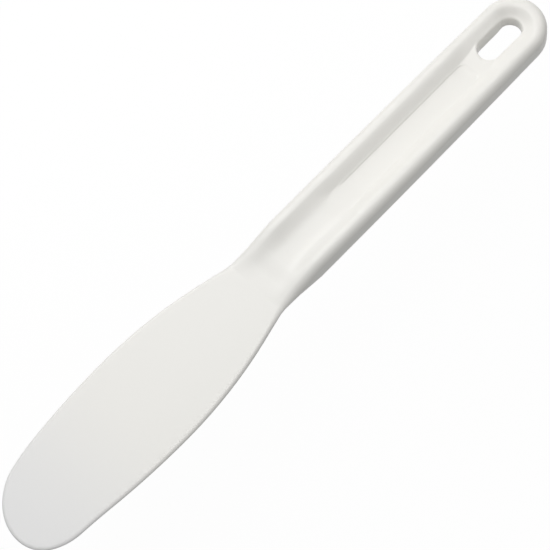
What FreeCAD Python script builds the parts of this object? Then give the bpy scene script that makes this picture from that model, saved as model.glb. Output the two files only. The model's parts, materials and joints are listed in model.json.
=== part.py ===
"""Flexible putty knife: a moulded handle and the thin blade that bends at its neck.

The knife lies flat. X runs from the blade's nose to the handle's butt, Y across the
knife and Z up. The sketches are drawn from the hinge line at the neck, in the middle
of the knife's thickness. The two pieces are then placed with the middle of the knife's
length over the origin and the handle's lower rims standing on Z = 0.
"""

import FreeCAD, Part
import math
import os

import Sketcher
from FreeCAD import Vector

SIZES = [
    # alias, millimetres, what it is
    ("blade_length", 93.6, "hinge line to nose"),
    ("blade_half_width", 15.875, "half of the blade at its widest"),
    ("nose_to_widest", 49.7, "nose to the widest place of the blade"),
    ("nose_radius", 12.0, "end of the blade"),
    ("shoulder_radius", 17.2, "corner between the nose and the belly"),
    ("front_belly_radius", 242.0, "edge from the shoulder to the widest place"),
    ("rear_belly_radius", 140.0, "edge from the widest place to the flank"),
    ("neck_radius", 15.0, "hollow where the flank turns into the handle"),
    ("neck_half_width", 9.75, "half of the neck, blade and handle alike"),
    ("blade_root_thickness", 2.2, "blade at the hinge line"),
    ("blade_tip_thickness", 1.2, "blade at the nose"),
    ("hinge_radius", 0.7, "round tongue on the blade's root"),
    ("hinge_clearance", 0.08, "tongue to groove, all round"),
    ("swing_room", 0.055, "left between the two end faces at the end of the bend"),
    ("handle_length", 109.6, "hinge line to butt"),
    ("handle_thickness", 8.7, "over the rims"),
    ("side_radius", 3700.0, "long bow of each side of the handle"),
    ("butt_radius", 9.3, "round end of the handle"),
    ("ramp_length", 15.0, "blade's thickness growing to the handle's"),
    ("side_round", 2.5, "rounding of the sides along the grip"),
    ("rim_width", 2.3, "side of the butt to the crest of the rim beside it"),
    ("dish_to_butt", 3.5, "crest of the rim to the end of the butt"),
    ("slope_run", 3.3, "crest to the foot of each slope, seen from above"),
    ("dish_depth", 2.2, "rim down to the dish's floor"),
    ("scoop_start", 3.0, "hinge line to the end of the blade's own face"),
    ("scoop_step", 7.8, "hinge line to the top of the scoop's shallow step"),
    ("scoop_step_height", 0.5, "rise of that step"),
    ("scoop_end", 30.0, "hinge line to where the scoop meets the dish's floor"),
    ("pocket_start", 31.0, "hinge line to the sunk panel"),
    ("pocket_to_butt", 25.5, "sunk panel's end to the butt"),
    ("pocket_inset", 0.2, "foot of each slope to the sunk panel"),
    ("pocket_end_flat", 0.7, "half of the straight part of the sunk panel's ends"),
    ("pocket_depth", 0.35, "sunk panel below the dish's floor"),
    ("slot_to_butt", 14.4, "middle of the hanging slot to the butt"),
    ("slot_length", 15.0, "hanging slot, end to end"),
    ("slot_width", 6.8, "hanging slot"),
    ("overrun", 1.0, "how far a cutting shape stands out of what it cuts"),
]

HALF_BEND = math.radians(15)  # the tongue's end faces close up as the blade bends
START, END, CENTRE = 1, 2, 3  # a sketch's names for the points of a line or an arc
AXIS, ORIGIN_POINT = -1, 1  # a sketch's own X axis, and its origin
NEAR = 1e-6

document = FreeCAD.newDocument("putty_knife")
sheet = document.addObject("Spreadsheet::Sheet", "sizes")
for row, (alias, value, meaning) in enumerate(SIZES, start=1):
    sheet.set("A%d" % row, alias)
    sheet.set("B%d" % row, str(value))
    sheet.set("C%d" % row, meaning)
    sheet.setAlias("B%d" % row, alias)
document.recompute()


# ---------------------------------------------------------------- sizes in formulas

class Length:
    """A length in millimetres that remembers the formula tying it to the sheet."""

    def __init__(self, value, formula=None):
        self.value = value
        self.formula = formula or repr(value)

    def _with(self, other, sign, value):
        return Length(value, "(%s %s %s)" % (self.formula, sign, as_length(other).formula))

    def __add__(self, other):
        return self._with(other, "+", self.value + as_length(other).value)

    def __sub__(self, other):
        return self._with(other, "-", self.value - as_length(other).value)

    def __mul__(self, factor):
        return self._with(factor, "*", self.value * factor)

    def __truediv__(self, divisor):
        return self._with(divisor, "/", self.value / divisor)

    def __neg__(self):
        return self * -1


def as_length(number):
    return number if isinstance(number, Length) else Length(number)


size = {alias: Length(float(sheet.get(alias)), "sizes." + alias) for alias, _, _ in SIZES}
hinge_gap = size["blade_root_thickness"] / 2 * math.tan(HALF_BEND) + size["swing_room"]
dish_half_width = size["butt_radius"] - size["rim_width"]
dish_floor_half_width = dish_half_width - size["slope_run"]
dish_floor = size["handle_thickness"] / 2 - size["dish_depth"]


# ---------------------------------------------------------------- sketches

def new_body(name):
    return document.addObject("PartDesign::Body", name)


def origin_plane(body, role):
    return [plane for plane in body.Origin.OriginFeatures if plane.Role == role][0]


def new_sketch(body, name, role, height=None):
    """A sketch on one of its body's own origin planes, or at a height above it."""
    sketch = body.newObject("Sketcher::SketchObject", name)
    sketch.AttachmentSupport = [(origin_plane(body, role), "")]
    sketch.MapMode = "FlatFace"
    if height:
        sketch.setExpression("AttachmentOffset.Base.z", height.formula)
    return sketch


def bind(sketch, kind, geometry, point, length):
    """A driving dimension of a sketch, tied to the sheet."""
    parts = (geometry, point) if point else (geometry,)
    index = sketch.addConstraint(Sketcher.Constraint(kind, *parts, length.value))
    sketch.setExpression("Constraints[%d]" % index, length.formula)


def pin(sketch, geometry, point, x=None, y=None):
    """Holds a point at X and Y, each a length, or 0 for a point on the other axis."""
    for kind, axis, place in (("DistanceX", -2, x), ("DistanceY", -1, y)):
        if isinstance(place, Length):
            bind(sketch, kind, geometry, point, place)
        elif place == 0:
            sketch.addConstraint(Sketcher.Constraint("PointOnObject", geometry, point, axis))


def draw(sketch, edges, smooth=()):
    """Draws a closed loop and joins its ends. An edge is ("line", from, to) or
    ("arc", from, to, centre, turn), with turn 1 anticlockwise and -1 clockwise.
    The loop runs on without a corner after each edge whose place is in smooth."""
    drawn = []
    for edge in edges:
        start, end = edge[1], edge[2]
        if edge[0] == "line":
            shape = Part.LineSegment(start, end)
            drawn.append((sketch.addGeometry(shape), START, END))
        else:
            centre, turn = edge[3], edge[4]
            radius = (start - centre).Length
            ends = (start, end) if turn > 0 else (end, start)
            angles = [math.atan2(p.y - centre.y, p.x - centre.x) for p in ends]
            circle = Part.Circle(centre, Vector(0, 0, 1), radius)
            shape = Part.ArcOfCircle(circle, *angles)
            order = (START, END) if turn > 0 else (END, START)
            drawn.append((sketch.addGeometry(shape),) + order)
    for place, (this, following) in enumerate(zip(drawn, drawn[1:] + drawn[:1])):
        kind = "Tangent" if place in smooth else "Coincident"
        touch = (this[0], this[2], following[0], following[1])
        sketch.addConstraint(Sketcher.Constraint(kind, *touch))
    return drawn


def crossing(centre_a, radius_a, centre_b, radius_b, side):
    """Where two circles cross, on the left of the line from a to b for side 1."""
    across = centre_b - centre_a
    span = across.Length
    along = (span * span + radius_a**2 - radius_b**2) / (2 * span)
    away = math.sqrt(radius_a**2 - along**2)
    left = Vector(-across.y, across.x, 0) / span
    return centre_a + across * (along / span) + left * (away * side)


def pad(body, sketch, thickness, side="Symmetric"):
    feature = body.newObject("PartDesign::Pad", sketch.Name + "_pad")
    feature.Profile = sketch
    feature.SideType = side
    feature.setExpression("Length", thickness.formula)
    return feature


def pocket(body, sketch):
    """Cuts a sketch right through, both ways, and makes sure that it took something."""
    document.recompute()
    before = body.Shape.Volume
    feature = body.newObject("PartDesign::Pocket", sketch.Name + "_pocket")
    feature.Profile = sketch
    feature.SideType = "Symmetric"
    feature.Type = "ThroughAll"
    document.recompute()
    if body.Shape.Volume > before - NEAR:
        raise ValueError(feature.Name + " cut nothing")
    return feature


def mirror_across_middle(body, feature):
    mirrored = body.newObject("PartDesign::Mirrored", feature.Name + "_mirrored")
    mirrored.Originals = [feature]
    mirrored.MirrorPlane = (origin_plane(body, "XZ_Plane"), [""])
    body.Tip = mirrored
    return mirrored


def point(x, y):
    return Vector(as_length(x).value, as_length(y).value, 0)


# ---------------------------------------------------------------- blade

def draw_blade_outline(body):
    """Half of the blade from above: nose, shoulder, belly, flank and neck."""
    length = size["blade_length"]
    widest = length - size["nose_to_widest"]
    half, neck = size["blade_half_width"], size["neck_half_width"]
    curves = ("nose", "shoulder", "front_belly", "rear_belly", "neck")
    nose_r, shoulder_r, front_r, rear_r, neck_r = [size[c + "_radius"].value for c in curves]
    tip, wide = point(-length, 0), point(-widest, half)
    root, end = point(0, neck), point(size["hinge_radius"], neck)
    foot = point(size["hinge_radius"], 0)
    nose = tip + Vector(nose_r, 0, 0)
    front = wide - Vector(0, front_r, 0)
    rear = wide - Vector(0, rear_r, 0)
    hollow = root + Vector(0, neck_r, 0)
    shoulder = crossing(nose, shoulder_r - nose_r, front, front_r - shoulder_r, 1)
    nose_end = shoulder + (nose - shoulder).normalize() * shoulder_r
    shoulder_end = front + (shoulder - front).normalize() * front_r
    reach = hollow - rear
    lean = math.atan2(reach.x, reach.y) - math.acos((rear_r + neck_r) / reach.Length)
    square = Vector(math.sin(lean), math.cos(lean), 0)
    belly_end, flank_end = rear + square * rear_r, hollow - square * neck_r

    sketch = new_sketch(body, "blade_outline", "XY_Plane")
    drawn = draw(sketch, [
        ("arc", tip, nose_end, nose, -1),
        ("arc", nose_end, shoulder_end, shoulder, -1),
        ("arc", shoulder_end, wide, front, -1),
        ("arc", wide, belly_end, rear, -1),
        ("line", belly_end, flank_end),
        ("arc", flank_end, root, hollow, 1),
        ("line", root, end),
        ("line", end, foot),
        ("line", foot, tip),
    ], smooth=(0, 1, 3, 4))
    for place, name in enumerate(("nose", "shoulder", "front_belly", "rear_belly")):
        bind(sketch, "Radius", drawn[place][0], None, size[name + "_radius"])
    bind(sketch, "Radius", drawn[5][0], None, size["neck_radius"])
    pin(sketch, drawn[0][0], drawn[0][1], -length, 0)
    pin(sketch, drawn[0][0], CENTRE, None, 0)
    pin(sketch, drawn[2][0], drawn[2][2], -widest, half)
    pin(sketch, drawn[2][0], CENTRE, -widest)
    pin(sketch, drawn[3][0], CENTRE, -widest)
    pin(sketch, drawn[5][0], CENTRE, 0)
    pin(sketch, drawn[6][0], START, 0, neck)
    pin(sketch, drawn[6][0], END, size["hinge_radius"], neck)
    pin(sketch, drawn[7][0], END, size["hinge_radius"], 0)
    return sketch


def draw_blade_offcuts(body):
    """What is cut from the blade's side view: the taper to the nose, above and below,
    and what lies round the tongue."""
    gap, radius = hinge_gap, size["hinge_radius"]
    root, tip = size["blade_root_thickness"] / 2, size["blade_tip_thickness"] / 2
    length, over = size["blade_length"], size["overrun"]
    reach = math.sqrt(radius.value**2 - gap.value**2)
    sketch = new_sketch(body, "blade_offcuts", "XZ_Plane")
    for side in (1, -1):
        top = (root + over) * side
        corners = [
            (-length, tip * side),
            (-gap, root * side),
            (-gap, None),
            (radius, 0),
            (radius + over, 0),
            (radius + over, top),
            (-length - over, top),
            (-length - over, tip * side),
        ]
        places = [point(x, reach * side if y is None else y) for x, y in corners]
        edges = [("line", a, b) for a, b in zip(places, places[1:] + places[:1])]
        edges[2] = ("arc", places[2], places[3], Vector(0, 0, 0), -side)
        drawn = draw(sketch, edges)
        bind(sketch, "Radius", drawn[2][0], None, radius)
        centre = (drawn[2][0], CENTRE, AXIS, ORIGIN_POINT)
        sketch.addConstraint(Sketcher.Constraint("Coincident", *centre))
        for edge, (x, y) in zip(drawn, corners):
            pin(sketch, edge[0], edge[1], None if x is radius else x, y)
    return sketch


blade = new_body("blade")
mirror_across_middle(blade, pad(blade, draw_blade_outline(blade), size["blade_root_thickness"]))
pocket(blade, draw_blade_offcuts(blade))


# ---------------------------------------------------------------- handle

def draw_handle_outline(body):
    """Half of the handle from above: a long shallow bow and the round butt."""
    gap, length = hinge_gap, size["handle_length"]
    neck, butt_r = size["neck_half_width"], size["butt_radius"]
    side_r = size["side_radius"]
    front, corner = point(gap, 0), point(gap, neck)
    butt, end = point(length - butt_r, 0), point(length, 0)
    side = crossing(corner, side_r.value, butt, side_r.value - butt_r.value, -1)
    side_end = butt + (butt - side).normalize() * butt_r.value
    sketch = new_sketch(body, "handle_outline", "XY_Plane")
    drawn = draw(sketch, [
        ("line", front, corner),
        ("arc", corner, side_end, side, -1),
        ("arc", side_end, end, butt, -1),
        ("line", end, front),
    ], smooth=(1,))
    bind(sketch, "Radius", drawn[1][0], None, side_r)
    bind(sketch, "Radius", drawn[2][0], None, butt_r)
    pin(sketch, drawn[0][0], START, gap, 0)
    pin(sketch, drawn[0][0], END, gap, neck)
    pin(sketch, drawn[2][0], CENTRE, None, 0)
    pin(sketch, drawn[3][0], START, length, 0)
    return sketch


def draw_ramp(body):
    """Side view of what is cut away where the handle thins to the blade: an S of two
    arcs, level where it meets the flats."""
    low, high = size["blade_root_thickness"] / 2, size["handle_thickness"] / 2
    start, over = hinge_gap, size["overrun"]
    end, top = start + size["ramp_length"], high + over
    foot, crest = point(start, low), point(end, high)
    run, rise = (crest.x - foot.x) / 2, (crest.y - foot.y) / 2
    radius = Vector(0, (run**2 + rise**2) / (2 * rise), 0)
    middle = (foot + crest) / 2
    corners = [point(end, top), point(start - over, top), point(start - over, low)]
    sketch = new_sketch(body, "ramp", "XZ_Plane")
    drawn = draw(sketch, [
        ("arc", foot, middle, foot + radius, 1),
        ("arc", middle, crest, crest - radius, -1),
        ("line", crest, corners[0]),
        ("line", corners[0], corners[1]),
        ("line", corners[1], corners[2]),
        ("line", corners[2], foot),
    ], smooth=(0,))
    sketch.addConstraint(Sketcher.Constraint("Equal", drawn[0][0], drawn[1][0]))
    pin(sketch, drawn[0][0], CENTRE, start)
    pin(sketch, drawn[1][0], CENTRE, end)
    pin(sketch, drawn[0][0], drawn[0][1], start, low)
    pin(sketch, drawn[1][0], drawn[1][2], end, high)
    pin(sketch, drawn[3][0], START, end, top)
    pin(sketch, drawn[4][0], START, start - over, top)
    pin(sketch, drawn[5][0], START, start - over, low)
    return sketch


def round_rim(body):
    """Rounds the upper half's top edge along both sides and round the butt."""
    document.recompute()
    blank = body.Tip
    top = size["handle_thickness"].value / 2
    names = []
    for number, edge in enumerate(blank.Shape.Edges, start=1):
        level = edge.BoundBox.ZMin > top - NEAR
        across = edge.BoundBox.XLength < NEAR
        if level and not across:
            names.append("Edge%d" % number)
    feature = body.newObject("PartDesign::Fillet", "rim_round")
    feature.Base = (blank, names)
    feature.setExpression("Radius", size["side_round"].formula)
    return feature


def draw_stadium(body, name, height, start, end, half):
    """An outline square at its front and round at its back."""
    middle = end - half
    sketch = new_sketch(body, name, "XY_Plane", height)
    corners = [point(start, -half), point(middle, -half), point(middle, half), point(start, half)]
    drawn = draw(sketch, [
        ("line", corners[0], corners[1]),
        ("arc", corners[1], corners[2], point(middle, 0), 1),
        ("line", corners[2], corners[3]),
        ("line", corners[3], corners[0]),
    ])
    pin(sketch, drawn[0][0], START, start, -half)
    pin(sketch, drawn[0][0], END, middle, -half)
    pin(sketch, drawn[1][0], CENTRE, middle, 0)
    pin(sketch, drawn[2][0], START, middle)
    pin(sketch, drawn[2][0], END, start, half)
    return sketch


def loft(body, name, sketches):
    feature = body.newObject("PartDesign::AdditiveLoft", name)
    feature.Profile = sketches[0]
    feature.Sections = sketches[1:]
    feature.Ruled = True
    return feature


def dish_half_width_at(height):
    """Half of the dish at a height over the middle of the handle: its slopes are flat."""
    run, depth = size["slope_run"], size["dish_depth"]
    below_rim = size["handle_thickness"] / 2 - height
    inward = below_rim.value * run.value / depth.value
    formula = "(%s * %s / %s)" % (below_rim.formula, run.formula, depth.formula)
    return dish_half_width - Length(inward, formula)


def build_dish_tool():
    """The long dish between the rims, round at the butt and open at the neck."""
    body = new_body("dish_tool")
    rim = size["handle_thickness"] / 2
    end = size["handle_length"] - size["dish_to_butt"] - dish_half_width
    sections = []
    for name, height in (("dish_floor", dish_floor), ("dish_rim", rim + size["overrun"])):
        half = dish_half_width_at(height)
        sections.append(draw_stadium(body, name, height, -size["overrun"], end + half, half))
    loft(body, "dish", sections)
    return body


def build_scoop_tool():
    """The deeper front of the dish, which runs out level with the blade's face."""
    body = new_body("scoop_tool")
    rim, face = size["handle_thickness"] / 2, size["blade_root_thickness"] / 2
    top = rim + size["overrun"]
    stations = [
        (-size["overrun"], face),
        (size["scoop_start"], face),
        (size["scoop_step"], face + size["scoop_step_height"]),
        (size["scoop_end"], dish_floor),
    ]
    sections = []
    for number, (place, bottom) in enumerate(stations):
        sketch = new_sketch(body, "scoop_section_%d" % number, "YZ_Plane", place)
        low, high = dish_half_width_at(bottom), dish_half_width_at(top)
        corners = [(-low, bottom), (low, bottom), (high, top), (-high, top)]
        places = [point(*corner) for corner in corners]
        drawn = draw(sketch, [("line", a, b) for a, b in zip(places, places[1:] + places[:1])])
        for edge, corner in zip(drawn, corners):
            pin(sketch, edge[0], START, *corner)
        sections.append(sketch)
    loft(body, "scoop", sections)
    return body


def build_pocket_tool():
    """The sunk panel in the dish's floor, a rectangle with round corners."""
    body = new_body("pocket_tool")
    half, start = dish_floor_half_width - size["pocket_inset"], size["pocket_start"]
    end = size["handle_length"] - size["pocket_to_butt"]
    sketch = new_sketch(body, "pocket_outline", "XY_Plane", dish_floor)
    corners = [(start, -half), (end, -half), (end, half), (start, half)]
    places = [point(*corner) for corner in corners]
    drawn = draw(sketch, [("line", a, b) for a, b in zip(places, places[1:] + places[:1])])
    for edge, corner in zip(drawn, corners):
        pin(sketch, edge[0], START, *corner)
    block = pad(body, sketch, size["pocket_depth"] * 2)
    document.recompute()
    upright = []
    for number, edge in enumerate(block.Shape.Edges, start=1):
        if edge.BoundBox.ZLength > NEAR:
            upright.append("Edge%d" % number)
    corner = body.newObject("PartDesign::Fillet", "pocket_corners")
    corner.Base = (block, upright)
    corner.setExpression("Radius", (half - size["pocket_end_flat"]).formula)
    return body


def build_slot_tool():
    """The hanging slot, with a round end at each end."""
    body = new_body("slot_tool")
    half = size["slot_width"] / 2
    reach = (size["slot_length"] - size["slot_width"]) / 2
    centre = size["handle_length"] - size["slot_to_butt"]
    first, last = centre - reach, centre + reach
    sketch = new_sketch(body, "slot_outline", "XY_Plane")
    drawn = draw(sketch, [
        ("line", point(first, -half), point(last, -half)),
        ("arc", point(last, -half), point(last, half), point(last, 0), 1),
        ("line", point(last, half), point(first, half)),
        ("arc", point(first, half), point(first, -half), point(first, 0), 1),
    ])
    pin(sketch, drawn[0][0], START, first, -half)
    pin(sketch, drawn[0][0], END, last, -half)
    pin(sketch, drawn[1][0], CENTRE, last, 0)
    pin(sketch, drawn[2][0], START, last)
    pin(sketch, drawn[2][0], END, first)
    pin(sketch, drawn[3][0], CENTRE, first, 0)
    pad(body, sketch, size["handle_thickness"] + size["overrun"] * 2)
    return body


def build_groove_tool():
    """The round groove across the handle's front that the blade's tongue turns in."""
    body = new_body("groove_tool")
    radius = size["hinge_radius"] + size["hinge_clearance"]
    sketch = new_sketch(body, "groove_outline", "XZ_Plane")
    circle = sketch.addGeometry(Part.Circle(Vector(0, 0, 0), Vector(0, 0, 1), radius.value))
    bind(sketch, "Radius", circle, None, radius)
    centre = (circle, CENTRE, AXIS, ORIGIN_POINT)
    sketch.addConstraint(Sketcher.Constraint("Coincident", *centre))
    pad(body, sketch, (size["neck_half_width"] + size["overrun"]) * 2)
    return body


upper_blank = new_body("upper_blank")
outline = pad(upper_blank, draw_handle_outline(upper_blank), size["handle_thickness"] / 2, "One side")
mirror_across_middle(upper_blank, outline)
round_rim(upper_blank)
pocket(upper_blank, draw_ramp(upper_blank))

dish_cuts = document.addObject("Part::MultiFuse", "dish_cuts")
dish_cuts.Shapes = [build_dish_tool(), build_scoop_tool(), build_pocket_tool()]
upper_half = document.addObject("Part::Cut", "upper_half")
upper_half.Base = upper_blank
upper_half.Tool = dish_cuts
lower_half = document.addObject("Part::Mirroring", "lower_half")
lower_half.Source = upper_half
lower_half.Normal = (0, 0, 1)
both_halves = document.addObject("Part::MultiFuse", "both_halves")
both_halves.Shapes = [upper_half, lower_half]
both_halves.Refine = True

openings = document.addObject("Part::MultiFuse", "openings")
openings.Shapes = [build_slot_tool(), build_groove_tool()]
handle = document.addObject("Part::Cut", "handle")
handle.Base = both_halves
handle.Tool = openings
document.recompute()


# ---------------------------------------------------------------- placing and writing

middle = (size["blade_length"] - size["handle_length"]) / 2
for piece in (handle, blade):
    piece.Label = piece.Name
    piece.setExpression("Placement.Base.x", middle.formula)
    piece.setExpression("Placement.Base.z", (size["handle_thickness"] / 2).formula)
document.recompute()

for feature in document.Objects:
    if "Invalid" in feature.State or "Error" in feature.State:
        raise ValueError("%s did not recompute: %s" % (feature.Name, feature.State))
os.makedirs("parts", exist_ok=True)
for piece in (handle, blade):
    shape = piece.Shape
    if shape.isNull() or not shape.isValid() or len(shape.Solids) != 1:
        raise ValueError(piece.Label + " is not one sound solid")
for piece in (handle, blade):
    piece.Shape.exportStep(os.path.join("parts", piece.Label + ".step"))
    box = piece.Shape.BoundBox
    print("%s %.1f mm3, X %.2f to %.2f, Y %.2f to %.2f, Z %.2f to %.2f" % (
        piece.Label, piece.Shape.Volume, box.XMin, box.XMax, box.YMin, box.YMax, box.ZMin, box.ZMax))
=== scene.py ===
import json
import math

import bmesh
import bpy
from mathutils import Matrix, Vector


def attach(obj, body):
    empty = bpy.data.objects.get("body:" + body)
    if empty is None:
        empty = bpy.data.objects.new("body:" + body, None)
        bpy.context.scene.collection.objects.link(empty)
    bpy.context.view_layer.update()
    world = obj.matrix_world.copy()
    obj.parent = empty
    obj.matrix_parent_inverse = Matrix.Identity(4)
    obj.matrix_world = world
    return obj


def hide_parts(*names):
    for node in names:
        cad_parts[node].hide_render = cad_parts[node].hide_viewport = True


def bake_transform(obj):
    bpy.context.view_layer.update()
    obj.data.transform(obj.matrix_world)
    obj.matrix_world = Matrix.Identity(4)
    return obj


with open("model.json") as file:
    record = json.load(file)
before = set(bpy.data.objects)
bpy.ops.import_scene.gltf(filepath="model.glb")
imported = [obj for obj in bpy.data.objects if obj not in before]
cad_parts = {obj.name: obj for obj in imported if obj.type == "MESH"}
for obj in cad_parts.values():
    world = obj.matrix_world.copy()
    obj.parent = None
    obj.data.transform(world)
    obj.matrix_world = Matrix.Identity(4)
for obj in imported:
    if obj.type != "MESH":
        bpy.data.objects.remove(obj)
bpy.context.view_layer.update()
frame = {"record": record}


# The view: a long lens looks down at the knife, from a little towards its nose and
# its near long side, with the nose at the lower left and the butt at the upper right.
LEAN_TO_NOSE = math.radians(14.0)
LEAN_TO_SIDE = math.radians(19.0)
KNIFE_ANGLE = math.radians(45.06)
LENS_DISTANCE = 0.75
LENS_LENGTH = 184.3
AIM = Vector((0.0006, 0.0, 0.00435))
AIM_RIGHT = 0.00210
AIM_UP = 0.00344

toward_lens = Vector((-math.tan(LEAN_TO_NOSE), -math.tan(LEAN_TO_SIDE), 1.0)).normalized()
along_knife = (Vector((1, 0, 0)) - toward_lens * toward_lens.x).normalized()
across_knife = toward_lens.cross(along_knife)
view_right = along_knife * math.cos(KNIFE_ANGLE) - across_knife * math.sin(KNIFE_ANGLE)
view_up = along_knife * math.sin(KNIFE_ANGLE) + across_knife * math.cos(KNIFE_ANGLE)
aim = AIM - view_right * AIM_RIGHT - view_up * AIM_UP

lens = bpy.data.cameras.new("lens")
lens.lens = LENS_LENGTH
lens.sensor_width = 36.0
lens.clip_start = 0.01
lens.clip_end = 20.0
camera = bpy.data.objects.new("camera", lens)
turned = Matrix((view_right, view_up, toward_lens)).transposed()
camera.matrix_world = Matrix.Translation(aim + toward_lens * LENS_DISTANCE) @ turned.to_4x4()
bpy.context.scene.collection.objects.link(camera)
bpy.context.scene.camera = camera


# The table and the light: a white table top that keeps a faint shadow, a pale surround
# that brightens upwards, and three round soft lamps: overhead, at the far side, and
# beyond the butt.
TABLE_SIZE = 6.0
TABLE_HEIGHT = -0.05
TABLE_BOUNCE = (0.27, 0.27, 0.265, 1.0)
SHADOW_SHARE = 0.05
SURROUND_LOW, SURROUND_HIGH = 0.34, 0.90
LAMP_AIM = Vector((0.03, 0.0, 0.0))
LAMPS = {
    # name: place, width, power
    "overhead_lamp": (Vector((0.05, 0.07, 0.38)), 0.30, 0.38),
    "side_lamp": (Vector((0.06, 0.30, 0.27)), 0.24, 0.42),
    "butt_lamp": (Vector((0.42, 0.30, 0.16)), 0.16, 0.22),
}


def seen_or_mirrored(tree):
    """1 for rays from the lens, in reflections and through glass, 0 for the light that spreads."""
    path = tree.nodes.new("ShaderNodeLightPath")
    lens_or_gloss = tree.nodes.new("ShaderNodeMath")
    lens_or_gloss.operation = "MAXIMUM"
    tree.links.new(path.outputs["Is Camera Ray"], lens_or_gloss.inputs[0])
    tree.links.new(path.outputs["Is Glossy Ray"], lens_or_gloss.inputs[1])
    any_sight = tree.nodes.new("ShaderNodeMath")
    any_sight.operation = "MAXIMUM"
    tree.links.new(lens_or_gloss.outputs[0], any_sight.inputs[0])
    tree.links.new(path.outputs["Is Transmission Ray"], any_sight.inputs[1])
    return any_sight


def make_table():
    mesh = bpy.data.meshes.new("table_top")
    half = TABLE_SIZE / 2
    corners = [(-half, -half), (half, -half), (half, half), (-half, half)]
    mesh.from_pydata([(x, y, TABLE_HEIGHT) for x, y in corners], [], [(0, 1, 2, 3)])
    top = bpy.data.objects.new("table_top", mesh)
    bpy.context.scene.collection.objects.link(top)
    paint = bpy.data.materials.new("table_white")
    paint.use_nodes = True
    tree = paint.node_tree
    tree.nodes.clear()
    out = tree.nodes.new("ShaderNodeOutputMaterial")
    bounce = tree.nodes.new("ShaderNodeBsdfDiffuse")
    bounce.inputs["Color"].default_value = TABLE_BOUNCE
    white = tree.nodes.new("ShaderNodeEmission")
    white.inputs["Strength"].default_value = 1.0
    shaded = tree.nodes.new("ShaderNodeBsdfDiffuse")
    shaded.inputs["Color"].default_value = (1.0, 1.0, 1.0, 1.0)
    seen = tree.nodes.new("ShaderNodeMixShader")
    seen.inputs["Fac"].default_value = SHADOW_SHARE
    tree.links.new(white.outputs[0], seen.inputs[1])
    tree.links.new(shaded.outputs[0], seen.inputs[2])
    either = tree.nodes.new("ShaderNodeMixShader")
    tree.links.new(seen_or_mirrored(tree).outputs[0], either.inputs["Fac"])
    tree.links.new(bounce.outputs[0], either.inputs[1])
    tree.links.new(seen.outputs[0], either.inputs[2])
    tree.links.new(either.outputs[0], out.inputs["Surface"])
    mesh.materials.append(paint)
    return top


def light_the_room():
    world = bpy.data.worlds.new("surround")
    bpy.context.scene.world = world
    world.use_nodes = True
    tree = world.node_tree
    tree.nodes.clear()
    out = tree.nodes.new("ShaderNodeOutputWorld")
    direction = tree.nodes.new("ShaderNodeTexCoord")
    parts = tree.nodes.new("ShaderNodeSeparateXYZ")
    rising = tree.nodes.new("ShaderNodeMapRange")
    rising.inputs["To Min"].default_value = SURROUND_LOW
    rising.inputs["To Max"].default_value = SURROUND_HIGH
    dim = tree.nodes.new("ShaderNodeBackground")
    tree.links.new(direction.outputs["Generated"], parts.inputs[0])
    tree.links.new(parts.outputs["Z"], rising.inputs["Value"])
    tree.links.new(rising.outputs["Result"], dim.inputs["Strength"])
    white = tree.nodes.new("ShaderNodeBackground")
    white.inputs["Strength"].default_value = 1.0
    either = tree.nodes.new("ShaderNodeMixShader")
    path = tree.nodes.new("ShaderNodeLightPath")
    tree.links.new(path.outputs["Is Camera Ray"], either.inputs["Fac"])
    tree.links.new(dim.outputs[0], either.inputs[1])
    tree.links.new(white.outputs[0], either.inputs[2])
    tree.links.new(either.outputs[0], out.inputs["Surface"])
    for name, (place, width, power) in LAMPS.items():
        light = bpy.data.lights.new(name, "AREA")
        light.shape = "DISK"
        light.size = width
        light.energy = power
        lamp = bpy.data.objects.new(name, light)
        lamp.location = place
        lamp.rotation_euler = (place - LAMP_AIM).to_track_quat("Z", "Y").to_euler()
        bpy.context.scene.collection.objects.link(lamp)


make_table()
light_the_room()
bpy.context.scene.view_settings.view_transform = "Standard"


# The handle is one moulding with the blade, in white polypropylene. Its broad sides
# are dished, with a sunk panel along the grip and a hanging slot through the butt.
MM = 0.001
HINGE = Vector(frame["record"]["behaviour"]["joints"][0]["pos_m"]) / MM

# All in millimetres: lengths from the hinge line towards the butt, widths from the
# middle line, heights from the middle plane. A pair is where a change starts and ends.
NECK_HALF_WIDTH = 9.75
SIDE_BOW = 5000.0
HANDLE_LENGTH = 109.6
BUTT_RADIUS = 9.4
BUTT_CENTRE = HANDLE_LENGTH - BUTT_RADIUS
HANDLE_HALF_THICKNESS = 4.35

# The blade's half thickness at the hinge line and at its nose, and the ramp between
# the blade's thickness and the handle's. An ease is how much of a ramp is rounded.
BLADE_ROOT = 1.1
BLADE_TIP = 0.6
BLADE_LENGTH = 93.6
RAMP_START, RAMP_END, RAMP_EASE = -1.8, 13.4, 0.3

# The dish: the rims' crests, the foot of each slope, the floor, and the middle of the
# round end. At the neck end a cove takes the place of the slope's sharp foot, and
# along the grip the slopes bulge a little.
CREST = 6.75
FOOT = 3.65
FLOOR = 2.15
DISH_CENTRE = 99.1
DISH_END_FOOT, DISH_END_EASE = 0.5, 0.25
FOOT_EASE, CREST_EASE = 0.10, 0.3
COVE_FADE = (26.0, 32.0)
COVE_FOOT, COVE_EASE = 0.4, 0.85
BULGE = 0.3
BULGE_RISE, BULGE_FALL = (28.0, 36.0), (78.0, 88.0)

# The scoop that runs out level with the blade: a shallow step, then a long rise that
# sets off a little before the step's top.
SCOOP_START, SCOOP_STEP, SCOOP_LEVEL, SCOOP_END = 2.4, 7.8, 1.65, 30.0
SCOOP_OVERLAP = 2.0

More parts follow.
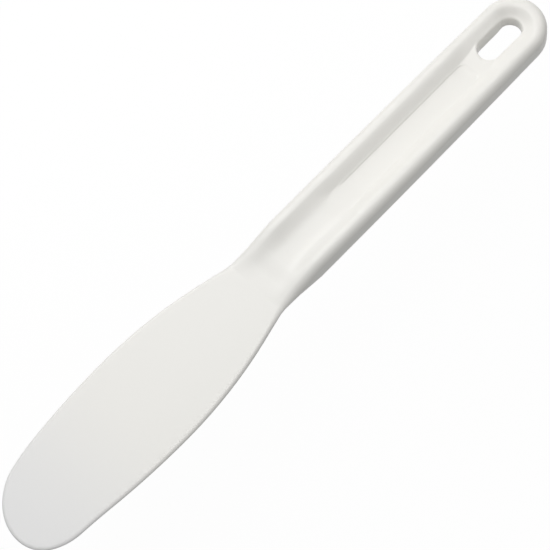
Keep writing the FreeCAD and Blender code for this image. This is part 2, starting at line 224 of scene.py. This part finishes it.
# The sunk panel, and the slight hollow along the dish's floor.
PANEL_START, PANEL_END, PANEL_HALF_WIDTH = 32.2, 84.1, 3.45
PANEL_CORNER, PANEL_DEPTH, PANEL_WALL = 2.8, 0.24, 0.3
PANEL_NECK_FADE, PANEL_BUTT_FADE = 6.0, 1.6
HOLLOW = 0.28
HOLLOW_RISE = (SCOOP_END - 6, SCOOP_END + 4)
HOLLOW_FALL = (PANEL_END - 4, PANEL_END + 4)

# The hanging slot with its rounded lip, and the higher land round it.
SLOT_START, SLOT_END, SLOT_HALF_WIDTH, SLOT_LIP = 87.8, 102.8, 3.4, 0.55
SLOT_OFFSET = 0.4
SLOT_OFFSET_FADE = (0.3, 3.0)
SLOT_LAND = 0.85
LAND_RISE, LAND_FALL = (PANEL_END - 1.0, SLOT_START + 1.5), (97.5, 101.5)

# The rounding of the outer edge, the lean of the nose, and the seam: the place where
# the two named pieces of the one moulding meet.
SIDE_ROUND = 2.5
BLADE_ROUND = 1.0
ROUND_CHANGE = (-10.0, 5.0)
NOSE_LEAN, LEAN_START = 2.4, 71.0
SEAM = 1.6


def smooth(value, low, high):
    """0 below low and 1 above high, easing in and out between them."""
    t = min(max((value - low) / (high - low), 0.0), 1.0)
    return t * t * (3 - 2 * t)


def soft_ramp(value, low, high, ease):
    """0 to 1 between low and high along a straight line with rounded ends."""
    t = min(max((value - low) / (high - low), 0.0), 1.0)
    return (1 - ease) * t + ease * t * t * (3 - 2 * t)


def blade_half_thickness(x):
    return BLADE_ROOT + (BLADE_TIP - BLADE_ROOT) * min(max(-x / BLADE_LENGTH, 0.0), 1.0)


def rim_height(x):
    """The top of the rims: the blade's own face, then the ramp, then the handle's."""
    root = blade_half_thickness(x)
    return root + (HANDLE_HALF_THICKNESS - root) * soft_ramp(x, RAMP_START, RAMP_END, RAMP_EASE)


def floor_height(x):
    """The scoop, the dish's floor, and the land round the slot."""
    if x < SCOOP_START:
        return blade_half_thickness(x)
    step = BLADE_ROOT + (SCOOP_LEVEL - BLADE_ROOT) * smooth(x, SCOOP_START, SCOOP_STEP)
    level = step + (FLOOR - SCOOP_LEVEL) * smooth(x, SCOOP_STEP - SCOOP_OVERLAP, SCOOP_END)
    return level + SLOT_LAND * smooth(x, *LAND_RISE) * (1 - smooth(x, *LAND_FALL))


def side_half_width(x):
    """The handle's bowed side, from the neck to where the butt's round begins."""
    straight = NECK_HALF_WIDTH + (BUTT_RADIUS - NECK_HALF_WIDTH) * x / BUTT_CENTRE
    return straight + x * (BUTT_CENTRE - x) / (2 * SIDE_BOW)


def softened(value, ease):
    """value above nought and nought below, with the corner eased."""
    ratio = value / ease
    well_above = 30
    if ratio > well_above:
        return value
    return ease * math.log1p(math.exp(ratio))


def dish_rise(x, y):
    """0 on the dish's floor and 1 at the crest of the rims."""
    beyond = max(0.0, x - DISH_CENTRE)
    across = math.hypot(beyond, y)
    cove = 1 - smooth(x, *COVE_FADE)
    ease = FOOT_EASE + COVE_EASE * cove
    foot = FOOT - COVE_FOOT * cove
    if beyond > 0:
        foot += DISH_END_FOOT * (beyond / across) ** 2
        ease += DISH_END_EASE * beyond / across
    rise = softened(across - foot, ease) / softened(CREST - foot, ease)
    fall = softened((1 - rise) * (CREST - foot), CREST_EASE) / (CREST - foot)
    return 1 - fall ** (1 + BULGE * smooth(x, *BULGE_RISE) * (1 - smooth(x, *BULGE_FALL)))


def panel_drop(x, y):
    """How far the sunk panel lies below the dish's floor."""
    half_length = (PANEL_END - PANEL_START) / 2
    dx = abs(x - (PANEL_START + PANEL_END) / 2) - (half_length - PANEL_CORNER)
    dy = abs(y) - (PANEL_HALF_WIDTH - PANEL_CORNER)
    outside = math.hypot(max(dx, 0.0), max(dy, 0.0)) + min(max(dx, dy), 0.0) - PANEL_CORNER
    faded = smooth(x, PANEL_START, PANEL_START + PANEL_NECK_FADE)
    faded *= smooth(PANEL_END - x, 0.0, PANEL_BUTT_FADE)
    return PANEL_DEPTH * smooth(-outside, 0.0, PANEL_WALL) * faded


def slot_distance(x, y):
    """Distance from the slot's edge, outwards."""
    half = (SLOT_END - SLOT_START) / 2 - SLOT_HALF_WIDTH
    dx = max(abs(x - (SLOT_START + SLOT_END) / 2) - half, 0.0)
    return math.hypot(dx, y) - SLOT_HALF_WIDTH


def quarter_round_drop(distance, radius):
    """How far a rounded edge lies below its face, by the distance in from the edge."""
    if distance >= radius:
        return 0.0
    return radius - math.sqrt(max(radius ** 2 - (radius - distance) ** 2, 0.0))


def face_height(x, y):
    """Height of the broad face over the middle plane, away from the outer edge."""
    rim, floor = rim_height(x), floor_height(x)
    height = floor + (rim - floor) * dish_rise(x, y)
    hollow = HOLLOW * smooth(x, *HOLLOW_RISE) * (1 - smooth(x, *HOLLOW_FALL))
    height -= hollow * max(0.0, 1 - (y / FOOT) ** 2)
    height -= panel_drop(x, y)
    return height - quarter_round_drop(max(slot_distance(x, y), 0.0), SLOT_LIP)


def edge_round(x):
    """Radius of the outer edge's rounding, smaller on the blade than on the handle."""
    return BLADE_ROUND + (SIDE_ROUND - BLADE_ROUND) * smooth(x, *ROUND_CHANGE)


def sideways(x, y):
    """The nose leans a little to one side, and the slot lies a little to the other."""
    past = max(0.0, -x - LEAN_START)
    lean = NOSE_LEAN * (past / (BLADE_LENGTH - LEAN_START)) ** 2
    return SLOT_OFFSET * (1 - smooth(slot_distance(x, y), *SLOT_OFFSET_FADE)) - lean


# How many rows of points each part of a section has, and how close those beside the
# crest and the foot lie. A section without a slot ends as if it had a narrow lip.
ROUND_ROWS, SLOPE_ROWS, FLOOR_ROWS, LIP_ROWS = 12, 6, 11, 5
CREST_STEP = 0.15
FOOT_STEP = 0.2
FOOT_REACH, FOOT_SHARE = 0.75, 0.6
FOOT_ROWS = (-0.13, 0.0, 0.13, 0.26, 0.36, 0.46, 0.56, 0.7, 1.0)
NO_SLOT_LIP = 0.25


def row_distances(radius, crest, foot, reach, slot):
    """Distances in from the outer edge of the rows that cross a section. They lie
    close together on the rounded edge, over the crest, round the foot and at the lip."""
    rows = [radius * (1 - math.cos(math.pi / 2 * k / ROUND_ROWS)) for k in range(ROUND_ROWS + 1)]
    rows += [radius + (crest - CREST_STEP - radius) * 0.5]
    rows += [crest - CREST_STEP, crest, crest + CREST_STEP, crest + 2 * CREST_STEP]
    slope = foot - FOOT_STEP - crest - 2 * CREST_STEP
    rows += [crest + 2 * CREST_STEP + slope * k / SLOPE_ROWS for k in range(1, SLOPE_ROWS + 1)]
    lip = SLOT_LIP if slot else NO_SLOT_LIP
    near = min(FOOT_REACH, (reach - lip - foot) * FOOT_SHARE)
    rows += [foot + near * k for k in FOOT_ROWS]
    last = rows[-1]
    rows += [last + (reach - lip - last) * k / FLOOR_ROWS for k in range(1, FLOOR_ROWS + 1)]
    rows += [reach - lip * (1 - math.sin(math.pi / 2 * k / LIP_ROWS)) for k in range(1, LIP_ROWS + 1)]
    return sorted(rows)


def section(outer, inner, radius, crest, foot, slot):
    """One section: points from the outer edge's middle plane to the inner end."""
    reach = (inner - outer).length
    inward = (inner - outer) / reach
    points = [(outer.x, outer.y, 0.0)]
    for distance in row_distances(radius, crest, foot, reach, slot):
        place = outer + inward * distance
        height = face_height(place.x, place.y)
        if distance < radius:
            # a quarter circle, squashed where the rim is thinner than its radius
            past = 1 - distance / radius
            rim = rim_height(place.x)
            height = min(height, rim - min(rim, radius) * (1 - math.sqrt(1 - past * past)))
        points.append((place.x, place.y, height))
    points.append((inner.x, inner.y, 0.0) if slot else points[-1])
    return points


# In metres: how close points are to be one, how short an edge is nothing, and how
# near the seam counts as on it.
MERGE_DISTANCE = 2e-7
SLIVER = 1e-7
ON_SEAM = 1e-6


def whole_moulding(name, quarter, seam_column):
    """Closes a quarter of the moulding into a mesh by mirroring it across and through."""
    mesh = bmesh.new()
    seam_x = (seam_column + HINGE.x) * MM

    def corner(point, across, through):
        x, y, z = point
        side = y * across + sideways(x, y)
        return mesh.verts.new(((x + HINGE.x) * MM, side * MM, (z * through + HINGE.z) * MM))

    def on_seam(part):
        return all(abs(v.co.x - seam_x) < ON_SEAM for v in part.verts)

    for across in (1, -1):
        for through in (1, -1):
            grid = [[corner(point, across, through) for point in column] for column in quarter]
            for first, second in zip(grid, grid[1:]):
                for j in range(len(first) - 1):
                    corners = [first[j], second[j], second[j + 1], first[j + 1]]
                    mesh.faces.new(corners if across * through > 0 else corners[::-1])
    bmesh.ops.remove_doubles(mesh, verts=mesh.verts, dist=MERGE_DISTANCE)
    bmesh.ops.dissolve_degenerate(mesh, dist=SLIVER, edges=mesh.edges)
    open_end = [edge for edge in mesh.edges if edge.is_boundary and on_seam(edge)]
    cap = bmesh.ops.holes_fill(mesh, edges=open_end, sides=0)["faces"]
    bmesh.ops.triangulate(mesh, faces=cap)
    bmesh.ops.recalc_face_normals(mesh, faces=mesh.faces)
    for face in mesh.faces:
        face.smooth = True
    for edge in mesh.edges:
        edge.smooth = not (on_seam(edge) and any(on_seam(face) for face in edge.link_faces))
    data = bpy.data.meshes.new(name)
    mesh.to_mesh(data)
    mesh.free()
    moulding = bpy.data.objects.new(name, data)
    bpy.context.scene.collection.objects.link(moulding)
    return moulding


def stations(start, *stretches):
    """Places along the knife from start on. Each stretch is its end and its step."""
    found = [start]
    for end, step in stretches:
        last = found[-1]
        count = max(1, round((end - last) / step))
        found += [last + (end - last) * k / count for k in range(1, count + 1)]
    return found


# The least room between the slope's foot and the slot, at the side and at the butt,
# and how many sections go round the butt.
SLOT_MARGIN = 0.25
BUTT_MARGIN = 0.5
BUTT_SECTIONS = 44


def handle_section(x):
    """The section straight across the handle at one place along it."""
    half = side_half_width(x)
    slot = slot_distance(x, 0.0) <= 0.0
    inner_y = 0.0
    if slot:
        bend = max(SLOT_START + SLOT_HALF_WIDTH - x, 0.0)
        inner_y = math.sqrt(max(SLOT_HALF_WIDTH ** 2 - bend ** 2, 0.0))
    crest = half - CREST
    foot = half - max(FOOT, inner_y + SLOT_MARGIN)
    return section(Vector((x, half)), Vector((x, inner_y)), edge_round(x), crest, foot, slot)


def butt_section(turn):
    """A section of the round butt. turn runs from 0 at its side to 1 on the middle line."""
    angle = math.pi / 2 * (1 - turn)
    half = side_half_width(BUTT_CENTRE)
    outer = Vector((BUTT_CENTRE + BUTT_RADIUS * math.cos(angle), half * math.sin(angle)))
    straight = SLOT_END - SLOT_HALF_WIDTH - BUTT_CENTRE
    walked = turn * (straight + SLOT_HALF_WIDTH * math.pi / 2)
    if walked < straight:
        inner = Vector((BUTT_CENTRE + walked, SLOT_HALF_WIDTH))
    else:
        bend = (walked - straight) / SLOT_HALF_WIDTH
        inner = Vector((BUTT_CENTRE + straight + SLOT_HALF_WIDTH * math.sin(bend),
                        SLOT_HALF_WIDTH * math.cos(bend)))
    reach = (inner - outer).length
    inward = (inner - outer) / reach
    to_crest = outer - Vector((DISH_CENTRE, 0.0))
    lean = to_crest.dot(inward)
    crest = -lean - math.sqrt(max(lean ** 2 - to_crest.length_squared + CREST ** 2, 0.0))
    foot = -lean - math.sqrt(max(lean ** 2 - to_crest.length_squared + FOOT ** 2, 0.0))
    return section(outer, inner, SIDE_ROUND, crest, min(foot, reach - BUTT_MARGIN), True)


handle_stations = stations(
    SEAM, (SEAM + 0.2, 0.1), (16.5, 0.35),
    (PANEL_START - 0.3, 0.7), (PANEL_START + 3.0, 0.16), (PANEL_END - 3.0, 1.4), (PANEL_END + 0.3, 0.16),
    (SLOT_START, 0.6), (SLOT_START + 0.02, 0.02), (SLOT_START + 0.3, 0.04), (SLOT_START + 3.5, 0.2),
    (BUTT_CENTRE, 0.8))
handle_quarter = [handle_section(x) for x in handle_stations]
handle_quarter += [butt_section(k / BUTT_SECTIONS) for k in range(1, BUTT_SECTIONS + 1)]
handle = whole_moulding("handle_moulding", handle_quarter, SEAM)


# The plastic's colours along the knife, its gloss, and its fine relief.
GRIP_WHITE = (0.862, 0.850, 0.812, 1)
FLOW_WHITE = (0.842, 0.828, 0.787, 1)
# painted shade: the blade's white is darker, for the light falling off towards the nose
BLADE_SHADED_WHITE = (0.820, 0.812, 0.778, 1)
# painted shade: the nose's grey darkens it further, for the light falling off there
NOSE_SHADE_GREY = (0.785, 0.785, 0.785, 1)
GLOSSIEST, DULLEST = 0.29, 0.41
SCUFF_DULLING = 0.12
SCUFF_DEPTH = 0.6
FLOW_DEPTH = 0.35
FLOW_STRETCH = 0.35
SCUFF_TURNS = (0.35, -0.8)
SCUFF_STRETCH = 0.06
FULL_SCUFF = 0.80
PATCH_LEAST = 0.8


def value_node(tree, kind, **inputs):
    """A node with some of its inputs set by name."""
    node = tree.nodes.new(kind)
    for name, value in inputs.items():
        node.inputs[name].default_value = value
    return node


def group_with(name, inputs, outputs):
    """An empty shader node group with its sockets, and its two end nodes."""
    group = bpy.data.node_groups.new(name, "ShaderNodeTree")
    for label, value in inputs.items():
        socket = group.interface.new_socket(label, in_out="INPUT", socket_type="NodeSocketFloat")
        socket.default_value = value
    for label in outputs:
        group.interface.new_socket(label, in_out="OUTPUT", socket_type="NodeSocketFloat")
    return group, group.nodes.new("NodeGroupInput"), group.nodes.new("NodeGroupOutput")


def mould_grain_group():
    """Fine mould texture and the slow melt-flow waviness of an injection moulding."""
    group, begin, end = group_with("mould_grain", {"Grain Scale": 900.0, "Flow Scale": 26.0},
                                   ("Height", "Flow"))
    place = group.nodes.new("ShaderNodeTexCoord")
    stretch = value_node(group, "ShaderNodeMapping", Scale=(FLOW_STRETCH, 1.0, 1.0))
    group.links.new(place.outputs["Object"], stretch.inputs["Vector"])
    grain = value_node(group, "ShaderNodeTexNoise", Detail=3.0, Roughness=0.6)
    group.links.new(place.outputs["Object"], grain.inputs["Vector"])
    group.links.new(begin.outputs["Grain Scale"], grain.inputs["Scale"])
    flow = value_node(group, "ShaderNodeTexNoise", Detail=4.0, Roughness=0.5)
    group.links.new(stretch.outputs["Vector"], flow.inputs["Vector"])
    group.links.new(begin.outputs["Flow Scale"], flow.inputs["Scale"])
    mixed = group.nodes.new("ShaderNodeMath")
    mixed.operation = "MULTIPLY_ADD"
    mixed.inputs[1].default_value = FLOW_DEPTH
    group.links.new(flow.outputs["Fac"], mixed.inputs[0])
    group.links.new(grain.outputs["Fac"], mixed.inputs[2])
    group.links.new(mixed.outputs[0], end.inputs["Height"])
    group.links.new(flow.outputs["Fac"], end.inputs["Flow"])
    return group


def handling_scuffs_group():
    """Sparse hairline scuffs in two directions, from a box of loose tools."""
    group, begin, end = group_with("handling_scuffs", {"Scale": 260.0, "Rarity": 0.66}, ("Scuff",))
    place = group.nodes.new("ShaderNodeTexCoord")
    found = []
    for turn in SCUFF_TURNS:
        lie = value_node(group, "ShaderNodeMapping",
                         Rotation=(0.0, 0.0, turn), Scale=(SCUFF_STRETCH, 1.0, 1.0))
        group.links.new(place.outputs["Object"], lie.inputs["Vector"])
        streak = value_node(group, "ShaderNodeTexNoise", Detail=2.0, Roughness=0.4)
        group.links.new(lie.outputs["Vector"], streak.inputs["Vector"])
        group.links.new(begin.outputs["Scale"], streak.inputs["Scale"])
        sparse = value_node(group, "ShaderNodeMapRange")
        sparse.inputs["From Max"].default_value = FULL_SCUFF
        group.links.new(begin.outputs["Rarity"], sparse.inputs["From Min"])
        group.links.new(streak.outputs["Fac"], sparse.inputs["Value"])
        found.append(sparse)
    either = group.nodes.new("ShaderNodeMath")
    either.operation = "MAXIMUM"
    group.links.new(found[0].outputs["Result"], either.inputs[0])
    group.links.new(found[1].outputs["Result"], either.inputs[1])
    group.links.new(either.outputs[0], end.inputs["Scuff"])
    return group


def along_knife_group():
    """0 up to one place along the knife and 1 from another, patchy between."""
    group, begin, end = group_with("along_knife", {"From X": 0.0, "To X": -0.1}, ("Share",))
    place = group.nodes.new("ShaderNodeTexCoord")
    parts = group.nodes.new("ShaderNodeSeparateXYZ")
    group.links.new(place.outputs["Object"], parts.inputs[0])
    along = group.nodes.new("ShaderNodeMapRange")
    along.interpolation_type = "SMOOTHSTEP"
    group.links.new(parts.outputs["X"], along.inputs["Value"])
    group.links.new(begin.outputs["From X"], along.inputs["From Min"])
    group.links.new(begin.outputs["To X"], along.inputs["From Max"])
    patches = value_node(group, "ShaderNodeTexNoise", Scale=90.0, Detail=5.0, Roughness=0.6)
    group.links.new(place.outputs["Object"], patches.inputs["Vector"])
    patchy = value_node(group, "ShaderNodeMapRange")
    patchy.inputs["To Min"].default_value = PATCH_LEAST
    group.links.new(patches.outputs["Fac"], patchy.inputs["Value"])
    share = group.nodes.new("ShaderNodeMath")
    share.operation = "MULTIPLY"
    group.links.new(along.outputs["Result"], share.inputs[0])
    group.links.new(patchy.outputs["Result"], share.inputs[1])
    group.links.new(share.outputs[0], end.inputs["Share"])
    return group


def combined(tree, operation, first, second):
    """A maths node over an output and either another output or a number."""
    node = tree.nodes.new("ShaderNodeMath")
    node.operation = operation
    tree.links.new(first, node.inputs[0])
    if isinstance(second, float):
        node.inputs[1].default_value = second
    else:
        tree.links.new(second, node.inputs[1])
    return node.outputs[0]


def toward(tree, colour, share, other):
    """A colour, or a node's colour output, turned towards another colour by a share."""
    mix = tree.nodes.new("ShaderNodeMix")
    mix.data_type = "RGBA"
    tree.links.new(share, mix.inputs["Factor"])
    if hasattr(colour, "node"):
        tree.links.new(colour, mix.inputs["A"])
    else:
        mix.inputs["A"].default_value = colour
    mix.inputs["B"].default_value = other
    return mix.outputs["Result"]


def group_node(tree, group, **inputs):
    """A group placed in a material with its own values. From_X sets the input From X."""
    node = tree.nodes.new("ShaderNodeGroup")
    node.node_tree = group
    for name, value in inputs.items():
        node.inputs[name.replace("_", " ")].default_value = value
    return node


def white_plastic():
    """White polypropylene: the colour drifts with the melt flow under a soft gloss, painted
    shade greys it towards the blade and more at the nose, where the light falls off,
    hairline scuffs dull it here and there, and the nose is duller as well."""
    made = bpy.data.materials.new("white_plastic")
    made.use_nodes = True
    tree = made.node_tree
    body = tree.nodes["Principled BSDF"]
    body.inputs["IOR"].default_value = 1.49
    grain = group_node(tree, mould_grain_group())
    flow, height = grain.outputs["Flow"], grain.outputs["Height"]
    scuff = group_node(tree, handling_scuffs_group()).outputs["Scuff"]
    along = along_knife_group()
    # painted shade: the colour greys towards the blade and more at the nose, for light falling off; the
    # nose share also dulls the gloss
    blade_shade_share = group_node(tree, along, From_X=0.045, To_X=-0.012).outputs["Share"]
    nose_shade_and_dulling = group_node(tree, along, From_X=-0.055, To_X=-0.1016).outputs["Share"]
    colour = toward(tree, GRIP_WHITE, flow, FLOW_WHITE)
    colour = toward(tree, colour, blade_shade_share, BLADE_SHADED_WHITE)
    colour = toward(tree, colour, nose_shade_and_dulling, NOSE_SHADE_GREY)
    tree.links.new(colour, body.inputs["Base Color"])
    gloss = value_node(tree, "ShaderNodeMapRange")
    gloss.inputs["To Min"].default_value = GLOSSIEST
    gloss.inputs["To Max"].default_value = DULLEST
    tree.links.new(flow, gloss.inputs["Value"])
    duller = combined(tree, "MULTIPLY", combined(tree, "MAXIMUM", scuff, nose_shade_and_dulling), SCUFF_DULLING)
    tree.links.new(combined(tree, "ADD", gloss.outputs["Result"], duller), body.inputs["Roughness"])
    depth = combined(tree, "SUBTRACT", height, combined(tree, "MULTIPLY", scuff, SCUFF_DEPTH))
    bump = value_node(tree, "ShaderNodeBump", Strength=0.05, Distance=0.0002)
    tree.links.new(depth, bump.inputs["Height"])
    tree.links.new(bump.outputs["Normal"], body.inputs["Normal"])
    return made


plastic = white_plastic()
handle.data.materials.append(plastic)
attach(handle, "handle")
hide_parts("handle")


# The blade is the same moulding carried on past the neck as a thin springy leaf,
# broadest near its middle, thinning towards its round nose.
NOSE_RADIUS = 12.0
SHOULDER_RADIUS = 17.2
FRONT_BELLY, REAR_BELLY = 242.0, 140.0
BELLY_HALF_WIDTH = 15.875
BELLY_STATION = -43.9
NECK_HOLLOW = 15.0


def crossing(a, radius_a, b, radius_b):
    """Where circles round a and b cross, on the left of the way from a to b."""
    apart = b - a
    d = apart.length
    along = (radius_a ** 2 - radius_b ** 2 + d ** 2) / (2 * d)
    off = math.sqrt(max(radius_a ** 2 - along ** 2, 0.0))
    unit = apart / d
    return a + unit * along + Vector((-unit.y, unit.x)) * off


def bearing(way):
    return math.atan2(way.y, way.x)


def arc(centre, radius, first, last, count):
    """Points along an arc, count steps from one bearing to another."""
    bearings = [first + (last - first) * k / count for k in range(count + 1)]
    return [centre + Vector((math.cos(t), math.sin(t))) * radius for t in bearings]


def blade_outline():
    """Upper half of the blade's outline, from the nose to the hinge line."""
    nose = Vector((-BLADE_LENGTH + NOSE_RADIUS, 0.0))
    front = Vector((BELLY_STATION, BELLY_HALF_WIDTH - FRONT_BELLY))
    rear = Vector((BELLY_STATION, BELLY_HALF_WIDTH - REAR_BELLY))
    shoulder = crossing(nose, SHOULDER_RADIUS - NOSE_RADIUS, front, FRONT_BELLY - SHOULDER_RADIUS)
    hollow = Vector((0.0, NECK_HALF_WIDTH + NECK_HOLLOW))
    # the straight flank touches the rear belly from outside and the neck hollow from the other side
    span = hollow - rear
    lean = math.asin((REAR_BELLY + NECK_HOLLOW) / span.length)
    heading = bearing(span) - lean
    normal = Vector((-math.sin(heading), math.cos(heading)))
    flank_start = rear + normal * REAR_BELLY
    flank_end = hollow - normal * NECK_HOLLOW
    nose_end = bearing(nose - shoulder)
    shoulder_end = bearing(shoulder - front)
    points = arc(nose, NOSE_RADIUS, math.pi, nose_end, 26)
    points += arc(shoulder, SHOULDER_RADIUS, nose_end, shoulder_end, 22)[1:]
    points += arc(front, FRONT_BELLY, shoulder_end, math.pi / 2, 26)[1:]
    points += arc(rear, REAR_BELLY, math.pi / 2, bearing(normal), 22)[1:]
    points += [flank_start.lerp(flank_end, k / 8) for k in range(1, 8)]
    points += arc(hollow, NECK_HOLLOW, bearing(-normal) % (2 * math.pi), 1.5 * math.pi, 14)
    return points


def blade_section(outer):
    """A section from a point of the outline to the middle line, or to the nose's centre."""
    pole = -BLADE_LENGTH + NOSE_RADIUS
    inner = Vector((max(outer.x, pole), 0.0))
    reach = (inner - outer).length
    share = reach / NECK_HALF_WIDTH
    crest = (NECK_HALF_WIDTH - CREST) * share
    foot = (NECK_HALF_WIDTH - FOOT) * share
    return section(outer, inner, edge_round(outer.x), crest, foot, False)


outline = blade_outline()
blade_quarter = [blade_section(point) for point in outline]
blade_quarter += [handle_section(x) for x in stations(0.3, (SEAM - 0.2, 0.3), (SEAM, 0.1))]
blade = whole_moulding("blade_moulding", blade_quarter, SEAM)
blade.data.materials.append(plastic)
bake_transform(blade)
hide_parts("blade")
